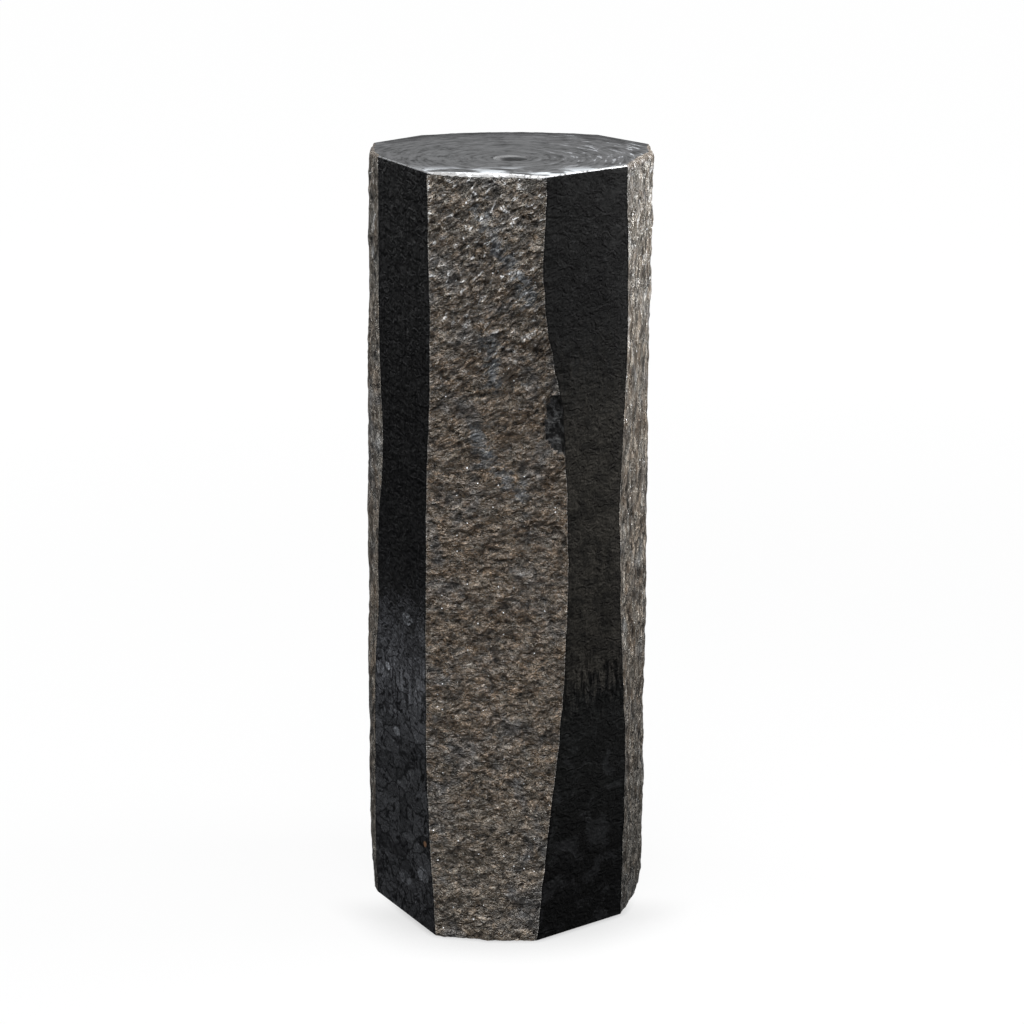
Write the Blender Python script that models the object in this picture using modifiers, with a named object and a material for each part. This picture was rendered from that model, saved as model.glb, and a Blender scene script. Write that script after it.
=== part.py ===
"""A basalt column drilled as a fountain stone: one piece of rock standing on its flat foot.

The column is roughly eight-sided. Four of its sides are sawn flat and polished, and the four between them
keep their rough natural skin, so each arris wanders where the skin runs in and out across a flat. The top is
sawn level and polished, the foot is sawn level, and a bore for the riser pipe runs down through the stone.

Metres, +Z up. The origin is the middle of the foot. Sides go counter-clockwise, seen from above.
"""

import math

import bmesh
import bpy
from mathutils import Vector, noise

HEIGHT = 0.915
BORE_DIAMETER = 0.038
BORE_CENTRE = (0.003, -0.026)
BORE_SIDES = 32
BORE_EASE = 0.002  # the bevel round the mouth of the bore, at the top and at the foot
GRID = 0.0118  # spacing of the points on the rough sides
POLISHED_ROUNDING = 0.002  # how far the top arris is eased where it meets a polished side
ROUNDING_TURNS = (45, 90)  # degrees round the eased top arris at which it has a ring of points

# Each polished side is a plane: the way it faces in degrees from +X, and how far it stands from the axis at
# the foot and at the top. Its two arrises are (height, distance along the side) stations.
POLISHED_SIDES = (
    {  # front left
        "faces": -151.5,
        "reach": (0.1488, 0.1385),
        "first": (
            (0.000, -0.065), (0.050, -0.070), (0.180, -0.072), (0.290, -0.071), (0.380, -0.062),
            (0.430, -0.064), (0.490, -0.061), (0.530, -0.054), (0.590, -0.051), (0.640, -0.056),
            (0.720, -0.061), (0.915, -0.063),
        ),
        "last": (
            (0.000, 0.090), (0.030, 0.086), (0.080, 0.079), (0.135, 0.072), (0.200, 0.066),
            (0.280, 0.063), (0.420, 0.062), (0.540, 0.063), (0.610, 0.067), (0.660, 0.070),
            (0.760, 0.069), (0.830, 0.065), (0.915, 0.061),
        ),
    },
    {  # front right
        "faces": -51.4,
        "reach": (0.1507, 0.1425),
        "first": (
            (0.000, -0.078), (0.060, -0.070), (0.140, -0.058), (0.220, -0.046), (0.290, -0.037),
            (0.370, -0.031), (0.450, -0.029), (0.550, -0.031), (0.620, -0.035), (0.655, -0.039),
            (0.680, -0.046), (0.705, -0.051), (0.755, -0.061), (0.820, -0.064), (0.870, -0.061),
            (0.915, -0.059),
        ),
        "last": (
            (0.000, 0.053), (0.080, 0.056), (0.180, 0.059), (0.240, 0.059), (0.350, 0.053),
            (0.450, 0.051), (0.500, 0.049), (0.590, 0.054), (0.720, 0.061), (0.820, 0.061),
            (0.915, 0.059),
        ),
    },
    {  # back right
        "faces": 40.5,
        "reach": (0.1670, 0.1755),
        "first": (
            (0.000, -0.045), (0.120, -0.050), (0.260, -0.041), (0.400, -0.046), (0.560, -0.054),
            (0.700, -0.045), (0.915, -0.050),
        ),
        "last": (
            (0.000, 0.048), (0.150, 0.041), (0.330, 0.052), (0.480, 0.045), (0.640, 0.036), (0.790, 0.044),
            (0.915, 0.040),
        ),
    },
    {  # back left
        "faces": 136.0,
        "reach": (0.1715, 0.1745),
        "first": (
            (0.000, -0.036), (0.140, -0.030), (0.300, -0.040), (0.470, -0.034), (0.600, -0.024),
            (0.760, -0.032), (0.915, -0.028),
        ),
        "last": (
            (0.000, 0.049), (0.110, 0.054), (0.270, 0.046), (0.430, 0.052), (0.590, 0.058), (0.740, 0.050),
            (0.915, 0.051),
        ),
    },
)

# The rough side after each polished one: how far it crowns out, as (height, crown) stations, the share of the
# way across at which it stands out furthest, how blunt it is there (1 is round, 0 is a ridge), how many grid
# cells it is wide, how much of the skin's relief it has, and how far its top arris is rounded off.
ROUGH_SIDES = (
    {"name": "front", "cells": 13, "rugged": 1.0, "rounding": 0.004, "furthest": 0.50, "bluntness": 1.0,
     "crown": ((0.000, 0.006), (0.080, 0.002), (0.450, -0.001), (0.800, 0.000), (0.915, -0.003))},
    {"name": "right", "cells": 14, "rugged": 0.6, "rounding": 0.007, "furthest": 0.64, "bluntness": 0.3,
     "crown": ((0.000, 0.013), (0.060, 0.014), (0.200, 0.013), (0.300, 0.017), (0.380, 0.017), (0.460, 0.014),
               (0.540, 0.012), (0.620, 0.012), (0.700, 0.015), (0.800, 0.015), (0.915, 0.014))},
    {"name": "back", "cells": 17, "rugged": 1.0, "rounding": 0.005, "furthest": 0.50, "bluntness": 1.0,
     "crown": ((0.000, 0.020), (0.400, 0.015), (0.915, 0.026))},
    {"name": "left", "cells": 9, "rugged": 0.4, "rounding": 0.006, "furthest": 0.58, "bluntness": 0.6,
     "crown": ((0.000, 0.007), (0.150, 0.010), (0.300, 0.013), (0.450, 0.012), (0.600, 0.012), (0.750, 0.010),
               (0.915, 0.008))},
)

# Relief of the rough skin: the size of each kind of lump and how far it stands in or out.
SWELL_SIZE, SWELL_DEPTH = 0.120, 0.0016
LUMP_SIZE, LUMP_DEPTH = 0.036, 0.0022
PIT_SIZE, PIT_DEPTH = 0.022, 0.0046
PIT_MIDDLE = 0.45  # the share of a pit's size at which its wall crosses the mean surface
JITTER_SIZE, JITTER = 0.0075, 0.0048  # how the grid's points wander along the skin, so no rows show
ARRIS_CARRY = 0.5  # how far along its flat an arris is carried, for each 1 that the skin stands out there

# The spall on the front arris of the front right side, where a flake of the skin has broken away.
SPALL_HEIGHT, SPALL_RISE = 0.624, 0.042
SPALL_WIDTH, SPALL_DEPTH = 0.026, 0.0055

STONE_COLOUR = (0.055, 0.048, 0.042, 1.0)
STONE_ROUGHNESS = 0.75


def through_stations(stations, height):
    """The value at this height on a smooth curve through (height, value) stations."""
    last = len(stations) - 1
    low = max(i for i in range(last) if stations[i][0] <= height or i == 0)

    def slope(i):
        (h0, v0), (h1, v1) = stations[max(i - 1, 0)], stations[min(i + 1, last)]
        return (v1 - v0) / (h1 - h0)

    (h0, v0), (h1, v1) = stations[low], stations[low + 1]
    span = h1 - h0
    t = (height - h0) / span
    return (
        v0 * (2 * t**3 - 3 * t**2 + 1)
        + v1 * (3 * t**2 - 2 * t**3)
        + slope(low) * span * (t**3 - 2 * t**2 + t)
        + slope(low + 1) * span * (t**3 - t**2)
    )


def arris_point(side, which, height):
    """Where one arris of a polished side is at this height, and which way leads past it along the side."""
    outward = Vector((math.cos(math.radians(side["faces"])), math.sin(math.radians(side["faces"])), 0))
    along = Vector((-outward.y, outward.x, 0))
    at_foot, at_top = side["reach"]
    reach = at_foot + (at_top - at_foot) * height / HEIGHT
    place = outward * reach + along * through_stations(side[which], height) + Vector((0, 0, height))
    return place, along if which == "last" else -along


def relief(place):
    """How far the rough skin stands out at a place on it."""
    swell = noise.noise(place / SWELL_SIZE) * SWELL_DEPTH
    lump = noise.noise(place / LUMP_SIZE + Vector((7.0, 3.0, 1.0))) * LUMP_DEPTH
    pit = (noise.voronoi(place / PIT_SIZE)[0][0] - PIT_MIDDLE) * PIT_DEPTH
    return swell + lump + pit


def crowned(share, rough):
    """How much of its crown a rough side has, this share of the way across it."""
    furthest = rough["furthest"]
    climb = share / furthest if share < furthest else (1 - share) / (1 - furthest)
    return climb + rough["bluntness"] * climb * (1 - climb)


def spall(height, from_arris):
    """How deep the broken flake goes at this height and distance from the front right side's arris."""
    up = (height - SPALL_HEIGHT) / SPALL_RISE
    width = SPALL_WIDTH * math.sqrt(max(0.0, 1.0 - up * up))
    return SPALL_DEPTH if from_arris < width else 0.0


def sawn_arris(side, which, height, rough):
    """An arris point on its polished side, carried along it by the lump of skin that the saw met there."""
    place, past = arris_point(side, which, height)
    return place + past * relief(place) * rough["rugged"] * ARRIS_CARRY


def rough_point(number, share, height, level):
    """A point of a rough side, this share of the way across it. A level one isn't shaken up or down."""
    rough = ROUGH_SIDES[number]
    start = arris_point(POLISHED_SIDES[number], "last", height)[0]
    end = arris_point(POLISHED_SIDES[(number + 1) % len(POLISHED_SIDES)], "first", height)[0]
    width = (end - start).length
    along = (end - start) / width
    outward = Vector((along.y, -along.x, 0))
    place = start + along * width * share
    sideways = noise.noise(place / JITTER_SIZE + Vector((4.0, 9.0, 2.0))) * JITTER
    upward = noise.noise(place / JITTER_SIZE + Vector((11.0, 5.0, 8.0))) * JITTER
    place += along * sideways
    if not level:
        place.z += upward
    out = through_stations(rough["crown"], height) * crowned(share, rough) + relief(place) * rough["rugged"]
    if rough["name"] == "front":
        out -= spall(height, width * (1 - share))
    return place + outward * out


def column_points(number, cell, share_up, level):
    """One upright line of points, at this share of the way up to where its top arris starts to round over."""
    if cell == 0:
        shoulder = HEIGHT - POLISHED_ROUNDING
        first = sawn_arris(POLISHED_SIDES[number], "first", shoulder * share_up, ROUGH_SIDES[number - 1])
        last = sawn_arris(POLISHED_SIDES[number], "last", shoulder * share_up, ROUGH_SIDES[number])
        return [(first, POLISHED_ROUNDING), (last, POLISHED_ROUNDING)]
    share = cell / ROUGH_SIDES[number]["cells"]
    swelling = math.sin(math.pi * share) ** 0.5
    rounding = POLISHED_ROUNDING + (ROUGH_SIDES[number]["rounding"] - POLISHED_ROUNDING) * swelling
    return [(rough_point(number, share, (HEIGHT - rounding) * share_up, level), rounding)]


def ring_at(share_up, level):
    """One ring of (point, rounding) pairs round the column, at this share of its height."""
    ring = []
    for number, rough in enumerate(ROUGH_SIDES):
        for cell in range(rough["cells"]):
            ring += column_points(number, cell, share_up, level)
    return ring


def rounded_over(ring, turn):
    """The shoulder's ring carried this many degrees round the eased top arris."""
    points = []
    for place, rounding in ring:
        inward = -Vector((place.x, place.y, 0)).normalized()
        inset = rounding * (1 - math.cos(math.radians(turn)))
        rise = rounding * math.sin(math.radians(turn))
        points.append(place + inward * inset + Vector((0, 0, rise)))
    return points


def stone_colour():
    material = bpy.data.materials.new("basalt")
    material.use_nodes = True
    shader = material.node_tree.nodes["Principled BSDF"]
    shader.inputs["Base Color"].default_value = STONE_COLOUR
    shader.inputs["Roughness"].default_value = STONE_ROUGHNESS
    shader.inputs["Metallic"].default_value = 0.0
    material.diffuse_color = STONE_COLOUR
    return material


def sawn_column(collection):
    """The stone before it is drilled: rings of points lofted from the foot to the eased arris and the top."""
    rows = round(HEIGHT / GRID)
    lofted = [ring_at(row / rows, row in (0, rows)) for row in range(rows + 1)]
    rings = [[place for place, rounding in ring] for ring in lofted]
    rings += [rounded_over(lofted[-1], turn) for turn in ROUNDING_TURNS]

    mesh = bpy.data.meshes.new("basalt_column")
    bm = bmesh.new()
    levels = [[bm.verts.new(point) for point in ring] for ring in rings]
    for below, above in zip(levels, levels[1:]):
        for i in range(len(below)):
            j = (i + 1) % len(below)
            bm.faces.new((below[i], below[j], above[j], above[i]))
    bm.faces.new(reversed(levels[0]))
    bm.faces.new(levels[-1])
    bm.to_mesh(mesh)
    bm.free()
    column = bpy.data.objects.new("basalt_column", mesh)
    collection.objects.link(column)
    return column


def bore_cutter(collection):
    """The drill's path: a cylinder longer than the stone, flared a little at both mouths of the bore."""
    radius, past = BORE_DIAMETER / 2, 0.01
    flare = radius + BORE_EASE + past
    profile = (
        (0.0, HEIGHT + past), (flare, HEIGHT + past), (radius, HEIGHT - BORE_EASE),
        (radius, BORE_EASE), (flare, -past), (0.0, -past),
    )
    mesh = bpy.data.meshes.new("bore_cutter")
    mesh.from_pydata([(r, 0.0, z) for r, z in profile], [(i, i + 1) for i in range(len(profile) - 1)], [])
    cutter = bpy.data.objects.new("bore_cutter", mesh)
    cutter.location = (*BORE_CENTRE, 0.0)
    cutter.hide_render = True
    cutter.display_type = "WIRE"
    collection.objects.link(cutter)
    turn = cutter.modifiers.new("turn", "SCREW")
    turn.steps = turn.render_steps = BORE_SIDES
    turn.use_merge_vertices = True
    turn.merge_threshold = 0.0001
    return cutter


def main():
    for old in list(bpy.data.objects):
        bpy.data.objects.remove(old)
    stones = bpy.data.collections.new("basalt column")
    cutters = bpy.data.collections.new("cutters")
    bpy.context.scene.collection.children.link(stones)
    bpy.context.scene.collection.children.link(cutters)

    column = sawn_column(stones)
    column.data.materials.append(stone_colour())
    bore = column.modifiers.new("bore", "BOOLEAN")
    bore.operation = "DIFFERENCE"
    bore.solver = "EXACT"
    bore.object = bore_cutter(cutters)


main()
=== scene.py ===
import math

import bpy
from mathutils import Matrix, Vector, noise


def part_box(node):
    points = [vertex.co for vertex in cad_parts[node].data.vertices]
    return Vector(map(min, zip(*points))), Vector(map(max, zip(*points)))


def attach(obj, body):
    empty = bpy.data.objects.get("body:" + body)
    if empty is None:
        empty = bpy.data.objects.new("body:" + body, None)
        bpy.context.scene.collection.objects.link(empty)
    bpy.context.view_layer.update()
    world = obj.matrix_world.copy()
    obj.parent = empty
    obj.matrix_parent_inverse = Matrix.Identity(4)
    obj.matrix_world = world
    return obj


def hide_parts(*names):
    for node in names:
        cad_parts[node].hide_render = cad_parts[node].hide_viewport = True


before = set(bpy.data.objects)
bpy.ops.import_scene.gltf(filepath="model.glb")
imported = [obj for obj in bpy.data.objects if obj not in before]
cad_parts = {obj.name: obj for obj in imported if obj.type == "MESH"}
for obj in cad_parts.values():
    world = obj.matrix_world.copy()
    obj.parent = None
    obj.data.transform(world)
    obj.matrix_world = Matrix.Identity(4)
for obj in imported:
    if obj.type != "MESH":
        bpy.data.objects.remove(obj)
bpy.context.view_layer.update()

stoneNode = "basalt_column"
stoneLow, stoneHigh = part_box(stoneNode)
print("frame: the solid is", [round(side, 3) for side in stoneHigh - stoneLow], "m")

# The stone's shape, in metres and degrees, its sides counter-clockwise from above. A flat is a sawn and
# polished plane: which way it faces, how far it stands from the axis at foot and top, and its two arrises as
# (height, distance along the flat). After each flat comes a side that keeps its skin: its width, how much its
# top arris is taken off and how round, where across it and how bluntly it crowns out furthest, what its rim
# looks like, its share of the relief, and how far it crowns out at heights up the stone.
column = {
    "height": stoneHigh.z,
    "grid": 0.0025,  # between the skin's points
    "flatCells": 4,  # across a flat
    "flats": [
        {"faces": -151.5, "reach": (0.1488, 0.1385),  # front left
         "first": [(0.0, -0.065), (0.05, -0.07), (0.18, -0.072), (0.29, -0.071), (0.38, -0.062),
                   (0.43, -0.064), (0.49, -0.061), (0.53, -0.054), (0.59, -0.051), (0.64, -0.056),
                   (0.72, -0.061), (0.915, -0.063)],
         "last": [(0.0, 0.09), (0.03, 0.086), (0.08, 0.079), (0.135, 0.072), (0.2, 0.066), (0.28, 0.063),
                  (0.42, 0.062), (0.54, 0.063), (0.61, 0.067), (0.66, 0.07), (0.76, 0.069), (0.83, 0.065),
                  (0.915, 0.061)]},
        {"faces": -51.4, "reach": (0.1507, 0.1425),  # front right
         "first": [(0.0, -0.078), (0.06, -0.07), (0.14, -0.058), (0.22, -0.046), (0.29, -0.037),
                   (0.37, -0.031), (0.45, -0.029), (0.55, -0.031), (0.62, -0.035), (0.655, -0.039),
                   (0.68, -0.046), (0.705, -0.051), (0.755, -0.061), (0.82, -0.064), (0.87, -0.061),
                   (0.915, -0.059)],
         "last": [(0.0, 0.053), (0.08, 0.056), (0.18, 0.059), (0.24, 0.059), (0.35, 0.053), (0.45, 0.051),
                  (0.5, 0.049), (0.59, 0.054), (0.72, 0.061), (0.82, 0.061), (0.915, 0.059)]},
        {"faces": 40.5, "reach": (0.167, 0.1755),  # back right
         "first": [(0.0, -0.045), (0.12, -0.05), (0.26, -0.041), (0.4, -0.046), (0.56, -0.054), (0.7, -0.045),
                   (0.915, -0.05)],
         "last": [(0.0, 0.048), (0.15, 0.041), (0.33, 0.052), (0.48, 0.045), (0.64, 0.036), (0.79, 0.044),
                  (0.915, 0.04)]},
        {"faces": 136.0, "reach": (0.1715, 0.1745),  # back left
         "first": [(0.0, -0.036), (0.14, -0.03), (0.3, -0.04), (0.47, -0.034), (0.6, -0.024), (0.76, -0.032),
                   (0.915, -0.028)],
         "last": [(0.0, 0.049), (0.11, 0.054), (0.27, 0.046), (0.43, 0.052), (0.59, 0.058), (0.74, 0.05),
                  (0.915, 0.051)]},
    ],
    "skins": [
        {"name": "front", "width": 0.146, "arris": 0.0044, "round": 0.0, "furthest": 0.5, "blunt": 1.0,
         "rim": "arris", "rugged": 1.0,
         "crown": [(0.0, 0.006), (0.08, 0.002), (0.45, -0.001), (0.8, 0.0), (0.915, -0.003)]},
        {"name": "right", "width": 0.158, "arris": 0.007, "round": 1.0, "furthest": 0.64, "blunt": 0.3,
         "rim": "skin", "rugged": 0.6,
         "crown": [(0.0, 0.013), (0.06, 0.014), (0.2, 0.013), (0.3, 0.017), (0.38, 0.017), (0.46, 0.014),
                   (0.54, 0.012), (0.62, 0.012), (0.7, 0.015), (0.8, 0.015), (0.915, 0.014)]},
        {"name": "back", "width": 0.2, "arris": 0.005, "round": 1.0, "furthest": 0.5, "blunt": 1.0,
         "rim": "skin", "rugged": 1.0,
         "crown": [(0.0, 0.02), (0.4, 0.015), (0.915, 0.026)]},
        {"name": "left", "width": 0.1, "arris": 0.006, "round": 1.0, "furthest": 0.58, "blunt": 0.6,
         "rim": "skin", "rugged": 0.4,
         "crown": [(0.0, 0.007), (0.15, 0.01), (0.3, 0.013), (0.45, 0.012), (0.6, 0.012), (0.75, 0.01),
                   (0.915, 0.008)]},
    ],
    "flatArris": 0.0014,  # the top arris where a flat meets it
    "arrisRings": 3,
    "swell": (0.12, 0.0016),  # size and depth of each kind of lump
    "lump": (0.036, 0.0022),
    "lumpShift": (7.0, 3.0, 1.0),  # so lumps don't follow the swells
    "pit": (0.022, 0.0046),
    "pitMiddle": 0.45,  # the share of a pit's size at which its wall crosses the mean surface
    "arrisCarry": 0.5,  # how far along its flat an arris is carried for each 1 that the skin stands out
    "arrisCalm": 0.01,  # the relief comes in over this distance from an arris
    "arrisShare": 0.4,  # how much of it reaches the arris itself
    "topCalm": 0.004,  # it dies away over this distance below the top arris
    "ragged": (0.0055, 0.45),  # size and share by which the arris round the top is bitten deeper or less
}

# where a flake has broken off the front skin beside the right flat
spall = {
    "height": 0.624,
    "rise": 0.036,  # half its height
    "width": 0.023,
    "depth": 0.005,
    "lip": 0.004,  # it reaches its depth this far from the arris
    "blunt": 0.7,  # 1 is an ellipse, and less is squarer
    "ragged": (0.009, 0.006),  # size and depth of its ragged outline
    "reliefShare": 0.25,
}

bore = {"centre": (0.003, -0.026), "radius": 0.019, "ease": 0.002, "topRings": 5, "wallRings": 8}

# the numbers by which a face's material is chosen
zones = {"skin": 0, "flat": 1, "top": 2, "arris": 3, "break": 4, "bore": 5}


def curveThrough(stations, height):
    last = len(stations) - 1
    low = max(i for i in range(last) if stations[i][0] <= height or i == 0)

    def slope(i):
        (h0, v0), (h1, v1) = stations[max(i - 1, 0)], stations[min(i + 1, last)]
        return (v1 - v0) / (h1 - h0)

    (h0, v0), (h1, v1) = stations[low], stations[low + 1]
    span = h1 - h0
    t = (height - h0) / span
    ends = v0 * (2 * t**3 - 3 * t**2 + 1) + v1 * (3 * t**2 - 2 * t**3)
    return ends + slope(low) * span * (t**3 - 2 * t**2 + t) + slope(low + 1) * span * (t**3 - t**2)


def arrisPlace(flat, end, height):
    # where an arris is before the skin's lumps carry it, and which way leads past it along its flat
    outward = Vector((math.cos(math.radians(flat["faces"])), math.sin(math.radians(flat["faces"])), 0))
    along = Vector((-outward.y, outward.x, 0))
    atFoot, atTop = flat["reach"]
    reach = atFoot + (atTop - atFoot) * height / column["height"]
    place = outward * reach + along * curveThrough(flat[end], height) + Vector((0, 0, height))
    return place, along if end == "last" else -along


def broadRelief(place):
    swellSize, swellDepth = column["swell"]
    lumpSize, lumpDepth = column["lump"]
    pitSize, pitDepth = column["pit"]
    swell = noise.noise(place / swellSize) * swellDepth
    lump = noise.noise(place / lumpSize + Vector(column["lumpShift"])) * lumpDepth
    pit = (noise.voronoi(place / pitSize)[0][0] - column["pitMiddle"]) * pitDepth
    return swell + lump + pit


def crowned(share, skin):
    # how much of its crown a side has, this share of the way across it
    furthest = skin["furthest"]
    climb = share / furthest if share < furthest else (1 - share) / (1 - furthest)
    return climb + skin["blunt"] * climb * (1 - climb)


def inSpall(height, fromArris):
    up = (height - spall["height"]) / spall["rise"]
    if abs(up) >= 1:
        return False
    raggedSize, raggedDepth = spall["ragged"]
    ragged = noise.noise(Vector((fromArris, 0, height)) / raggedSize) * raggedDepth
    return fromArris < spall["width"] * math.sqrt(1 - up * up) ** spall["blunt"] + ragged


def smooth(share):
    share = min(max(share, 0.0), 1.0)
    return share * share * (3 - 2 * share)


# At each height a line of points up the stone is (place, outward, mask, taken, round, broken): where it is,
# which way and how much the fine relief pushes it, how much its top arris is taken off and how round, and
# whether it is in the spall.
def skinLines(number, shareUp, cells):
    skin = column["skins"][number]
    lines = []
    for cell in range(1, cells):
        share = cell / cells
        ramp = math.sin(math.pi * share) ** 0.5
        taken = column["flatArris"] + (skin["arris"] - column["flatArris"]) * ramp
        raggedSize, raggedShare = column["ragged"]
        taken *= 1 + raggedShare * noise.noise(Vector((number, share * skin["width"] / raggedSize, 0))) * ramp
        height = (column["height"] - taken) * shareUp
        start = arrisPlace(column["flats"][number], "last", height)[0]
        end = arrisPlace(column["flats"][(number + 1) % 4], "first", height)[0]
        width = (end - start).length
        along = (end - start) / width
        outward = Vector((along.y, -along.x, 0))
        place = start + along * width * share
        fromArris = width * min(share, 1 - share)
        mask = column["arrisShare"] + (1 - column["arrisShare"]) * smooth(fromArris / column["arrisCalm"])
        out = curveThrough(skin["crown"], height) * crowned(share, skin)
        out += broadRelief(place) * mask * skin["rugged"]
        broken = skin["name"] == "front" and inSpall(height, width * (1 - share))
        if broken:
            out -= spall["depth"] * smooth(width * (1 - share) / spall["lip"])
            mask *= spall["reliefShare"]
        lines.append((place + outward * out, outward * skin["rugged"], mask, taken, skin["round"], broken))
    return lines


def flatLines(number, shareUp):
    flat = column["flats"][number]
    height = (column["height"] - column["flatArris"]) * shareUp
    ends = []
    for end, beside in (("first", number - 1), ("last", number)):
        place, past = arrisPlace(flat, end, height)
        carried = past * column["arrisCarry"] * column["skins"][beside]["rugged"]
        ends.append((place + carried * broadRelief(place), carried))
    lines = []
    for cell in range(column["flatCells"] + 1):
        share = cell / column["flatCells"]
        place = ends[0][0].lerp(ends[1][0], share)
        carried = ends[0 if cell == 0 else 1][1]
        mask = column["arrisShare"] if cell in (0, column["flatCells"]) else 0.0
        lines.append((place, carried, mask, column["flatArris"], 1.0, False))
    return lines


def ringOfLines(shareUp, cellsBySide):
    ring = []
    for number in range(4):
        ring += flatLines(number, shareUp)
        ring += skinLines(number, shareUp, cellsBySide[number])
    return ring


def sideZones(cellsBySide):
    # which zone the face to the right of each line is in, up the side and then over the top arris
    sides, rims = [], []
    for skin, cells in zip(column["skins"], cellsBySide):
        sides += ["flat"] * column["flatCells"] + ["skin"] * cells
        rims += ["arris"] * column["flatCells"] + [skin["rim"]] * cells
    return sides, rims


def takenArris(line, turn):
    # the shoulder's point carried this share of the way over its top arris, flat or rounded
    place, _, _, taken, roundness, _ = line
    inward = -Vector((place.x, place.y, 0)).normalized()
    angle = math.radians(90 * turn)
    inset = taken * ((1 - math.cos(angle)) * roundness + turn * (1 - roundness))
    rise = taken * (math.sin(angle) * roundness + turn * (1 - roundness))
    return place + inward * inset + Vector((0, 0, rise))


def polarRing(ring, share, radius, height):
    # a ring part of the way from the stone's edge to a circle round the bore, its points on straight spokes
    centre = Vector((*bore["centre"], height))
    points = []
    for place in ring:
        spoke = Vector((place.x, place.y, height)) - centre
        points.append(centre + spoke * (1 - share) + spoke.normalized() * radius * share)
    return points


def addObject(name, data):
    thing = bpy.data.objects.new(name, data)
    bpy.context.scene.collection.objects.link(thing)
    return thing


def buildStone():
    cellsBySide = [round(skin["width"] / column["grid"]) for skin in column["skins"]]
    rows = round(column["height"] / column["grid"])
    facing, rims = sideZones(cellsBySide)
    count = len(facing)
    points, outwards, masks, faces, faceZones = [], [], [], [], []

    def join(below, above, zoneNames):
        # the quads between ring number below and ring number above
        for i, name in enumerate(zoneNames):
            j = (i + 1) % count
            a, b = below * count, above * count
            faces.append((a + i, a + j, b + j, b + i))
            faceZones.append(zones[name])

    def addRing(places, zoneNames, lines=None, calm=1.0):
        # a ring of points, joined to the ring before it
        number = len(points) // count
        for i, place in enumerate(places):
            points.append(place)
            outwards.append(lines[i][1] if lines else Vector((0, 0, 0)))
            masks.append(lines[i][2] * calm if lines else 0.0)
        if number:
            join(number - 1, number, zoneNames)

    # up the outside
    broken = [False] * count
    for row in range(rows + 1):
        lines = ringOfLines(row / rows, cellsBySide)
        brokenBelow, broken = broken, [line[5] for line in lines]
        sides = ["break" if brokenBelow[i] and broken[i] else facing[i] for i in range(count)]
        toTop = (column["height"] - column["skins"][0]["arris"]) * (1 - row / rows)
        addRing([line[0] for line in lines], sides, lines, smooth(toTop / column["topCalm"]))
    # over the arris and across the top to the bore
    for turn in range(1, column["arrisRings"] + 1):
        addRing([takenArris(line, turn / column["arrisRings"]) for line in lines], rims)
    edge = points[-count:]
    mouth = bore["radius"] + bore["ease"]
    for step in range(1, bore["topRings"] + 1):
        addRing(polarRing(edge, step / bore["topRings"], mouth, column["height"]), ["top"] * count)
    # down the bore and back along the foot
    inBore = ["bore"] * count
    wallTop, wallFoot = column["height"] - bore["ease"], bore["ease"]
    for step in range(bore["wallRings"] + 1):
        height = wallTop + (wallFoot - wallTop) * step / bore["wallRings"]
        addRing(polarRing(edge, 1.0, bore["radius"], height), inBore)
    addRing(polarRing(points[:count], 1.0, mouth, 0.0), inBore)
    join(len(points) // count - 1, 0, inBore)

    mesh = bpy.data.meshes.new("basaltColumn")
    mesh.from_pydata(points, [], faces)
    mesh.attributes.new("outward", "FLOAT_VECTOR", "POINT").data.foreach_set(
        "vector", [value for outward in outwards for value in outward])
    mesh.attributes.new("skin", "FLOAT", "POINT").data.foreach_set("value", masks)
    mesh.attributes.new("zone", "INT", "FACE").data.foreach_set("value", faceZones)
    print("stone:", len(points), "points,", len(faces), "faces before the fine relief")
    return addObject("basaltColumn", mesh)


def plug(socket, value):
    if isinstance(value, bpy.types.NodeSocket):
        socket.id_data.links.new(value, socket)
    else:
        socket.default_value = value


def addNode(kind, values, tree=None, **settings):
    # a node with these values at its inputs, in this tree or in that of the sockets among them
    tree = tree or next(value.id_data for value in values.values() if isinstance(value, bpy.types.NodeSocket))
    node = tree.nodes.new(kind)
    for name, value in settings.items():
        setattr(node, name, value)
    for key, value in values.items():
        plug(node.inputs[key], value)
    return node


def calc(operation, *values):
    return addNode("ShaderNodeMath", dict(enumerate(values)), operation=operation).outputs[0]


def times(first, *others):
    for other in others:
        first = calc("MULTIPLY", first, other)
    return first


def swing(value, amount):
    # this amount of a noise, half of it to either side of nothing
    return times(calc("SUBTRACT", value, 0.5), amount)


def vectorCalc(operation, *values):
    keys = (0, "Scale") if operation == "SCALE" else (0, 1)
    result = "Value" if operation in ("LENGTH", "DISTANCE", "DOT_PRODUCT") else "Vector"
    return addNode("ShaderNodeVectorMath", dict(zip(keys, values)), operation=operation).outputs[result]


def remap(value, low, high, toLow=0.0, toHigh=1.0, easing="SMOOTHSTEP"):
    return addNode("ShaderNodeMapRange", {0: value, 1: low, 2: high, 3: toLow, 4: toHigh},
                   interpolation_type=easing).outputs[0]


def between(share, atNone, atAll):
    return remap(share, 0.0, 1.0, atNone, atAll, "LINEAR")


def rampsOf(look):
    # sends a value through the ramp that a look keeps under these names
    return lambda value, *names: remap(value, *(number for name in names for number in look[name]))


def split(vector):
    return addNode("ShaderNodeSeparateXYZ", {0: vector}).outputs


def joined(across, along, height):
    return addNode("ShaderNodeCombineXYZ", {0: across, 1: along, 2: height}).outputs[0]


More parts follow.
